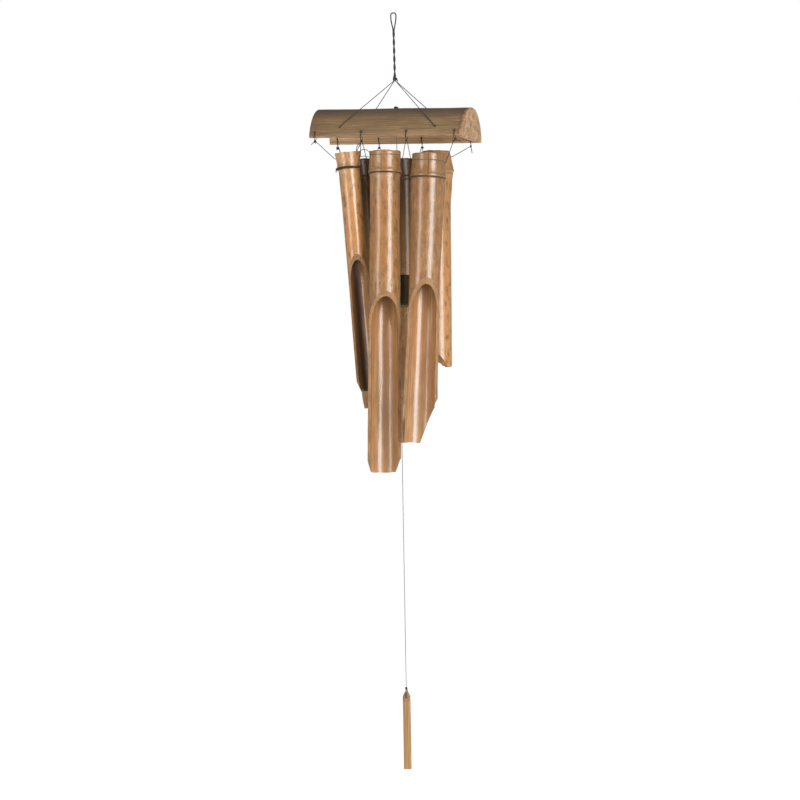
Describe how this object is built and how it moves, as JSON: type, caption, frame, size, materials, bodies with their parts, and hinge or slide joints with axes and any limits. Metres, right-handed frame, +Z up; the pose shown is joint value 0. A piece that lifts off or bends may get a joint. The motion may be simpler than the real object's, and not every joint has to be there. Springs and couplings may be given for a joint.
{
  "type": "bamboo wind chime",
  "caption": "Hanging wind chime: bamboo tubes tied in rows under a split bamboo bar, around a wooden clapper on a plumb string that carries a wind catcher.",
  "frame": {"origin": "inside of the hanging loop's top, where the hook bears", "axes": "+Z up, +X along the bar towards the viewer's right, +Y to the back"},
  "size_m": [0.2517, 0.1609, 1.1837],
  "materials": {
    "bar_bamboo": "dry, lightly varnished bamboo",
    "tube_bamboo": "glossy varnished bamboo",
    "clapper_wood": "dark stained turned wood",
    "catcher_bamboo": "split bamboo, golden",
    "dark_cord": "waxed braided cord, near black",
    "grey_string": "thin grey twine"
  },
  "bodies": {
    "bar": {"hanger_knot": "dark_cord", "hanger_line_back_left": "dark_cord", "hanger_line_back_right": "dark_cord", "hanger_line_front_left": "dark_cord", "hanger_line_front_right": "dark_cord", "hanger_loop": "dark_cord", "hanger_stop_knots": "dark_cord", "tie_back_1": "dark_cord", "tie_back_2": "dark_cord", "tie_back_3": "dark_cord", "tie_back_4": "dark_cord", "tie_front_1": "dark_cord", "tie_front_2": "dark_cord", "tie_front_3": "dark_cord", "tie_front_4": "dark_cord", "top_bar": "bar_bamboo"},
    "tube_1": {"sling_1_left": "dark_cord", "sling_1_right": "dark_cord", "tube_1": "tube_bamboo", "wrap_1": "dark_cord"},
    "tube_2": {"sling_2_left": "dark_cord", "sling_2_right": "dark_cord", "tube_2": "tube_bamboo"},
    "tube_3": {"sling_3_left": "dark_cord", "sling_3_right": "dark_cord", "tube_3": "tube_bamboo", "wrap_3": "dark_cord"},
    "tube_4": {"sling_4_left": "dark_cord", "sling_4_right": "dark_cord", "tube_4": "tube_bamboo"},
    "tube_5": {"sling_5_left": "dark_cord", "sling_5_right": "dark_cord", "tube_5": "tube_bamboo", "wrap_5": "dark_cord"},
    "tube_6": {"sling_6_left": "dark_cord", "sling_6_right": "dark_cord", "tube_6": "tube_bamboo"},
    "ridge_knot": {"ridge_knot": "dark_cord"},
    "clapper": {"clapper_string": "dark_cord", "clapper": "clapper_wood"},
    "clapper_knot": {"clapper_knot": "dark_cord"},
    "tail": {"tail_string": "grey_string", "catcher_tie": "grey_string"},
    "wind_catcher": {"wind_catcher": "catcher_bamboo"}
  },
  "joints": [
    {"name": "tube_1_swing", "type": "hinge", "parent": "bar", "child": "tube_1", "pos_m": [-0.11563, -0.0512, -0.20106], "axis": [-0.9993, 0, 0.0384], "range_deg": [-1.5, 0.2]},
    {"name": "tube_2_swing", "type": "hinge", "parent": "bar", "child": "tube_2", "pos_m": [-0.11213, 0.0512, -0.2012], "axis": [0.9993, 0, -0.0384], "range_deg": [-1.5, 25]},
    {"name": "tube_3_swing", "type": "hinge", "parent": "bar", "child": "tube_3", "pos_m": [-0.03968, -0.0512, -0.20398], "axis": [-0.9993, 0, 0.0384], "range_deg": [-0.5, 25]},
    {"name": "tube_4_swing", "type": "hinge", "parent": "bar", "child": "tube_4", "pos_m": [-0.04318, 0.0512, -0.20384], "axis": [0.9993, 0, -0.0384], "range_deg": [-0.5, 25]},
    {"name": "tube_5_swing", "type": "hinge", "parent": "bar", "child": "tube_5", "pos_m": [0.03376, -0.0512, -0.2068], "axis": [-0.9993, 0, 0.0384], "range_deg": [-1.5, 25]},
    {"name": "tube_6_swing", "type": "hinge", "parent": "bar", "child": "tube_6", "pos_m": [0.02777, 0.0512, -0.20657], "axis": [0.9993, 0, -0.0384], "range_deg": [-1.5, 25]},
    {"name": "clapper_sway", "type": "hinge", "parent": "bar", "child": "ridge_knot", "pos_m": [0.002, 0, -0.1466], "axis": [0, -1, 0], "range_deg": [-2, 8]},
    {"name": "clapper_swing", "type": "hinge", "parent": "ridge_knot", "child": "clapper", "pos_m": [0.002, 0, -0.1466], "axis": [1, 0, 0], "range_deg": [-1.3, 1.3]},
    {"name": "tail_sway", "type": "hinge", "parent": "clapper", "child": "clapper_knot", "pos_m": [0.002, 0, -0.4641], "axis": [0, -1, 0], "range_deg": [-3, 10]},
    {"name": "tail_swing", "type": "hinge", "parent": "clapper_knot", "child": "tail", "pos_m": [0.002, 0, -0.4641], "axis": [1, 0, 0], "range_deg": [-4, 4]},
    {"name": "catcher_swing", "type": "hinge", "parent": "tail", "child": "wind_catcher", "pos_m": [0.002, 0, -1.0727], "axis": [0, -1, 0], "range_deg": [-30, 30]}
  ]
}
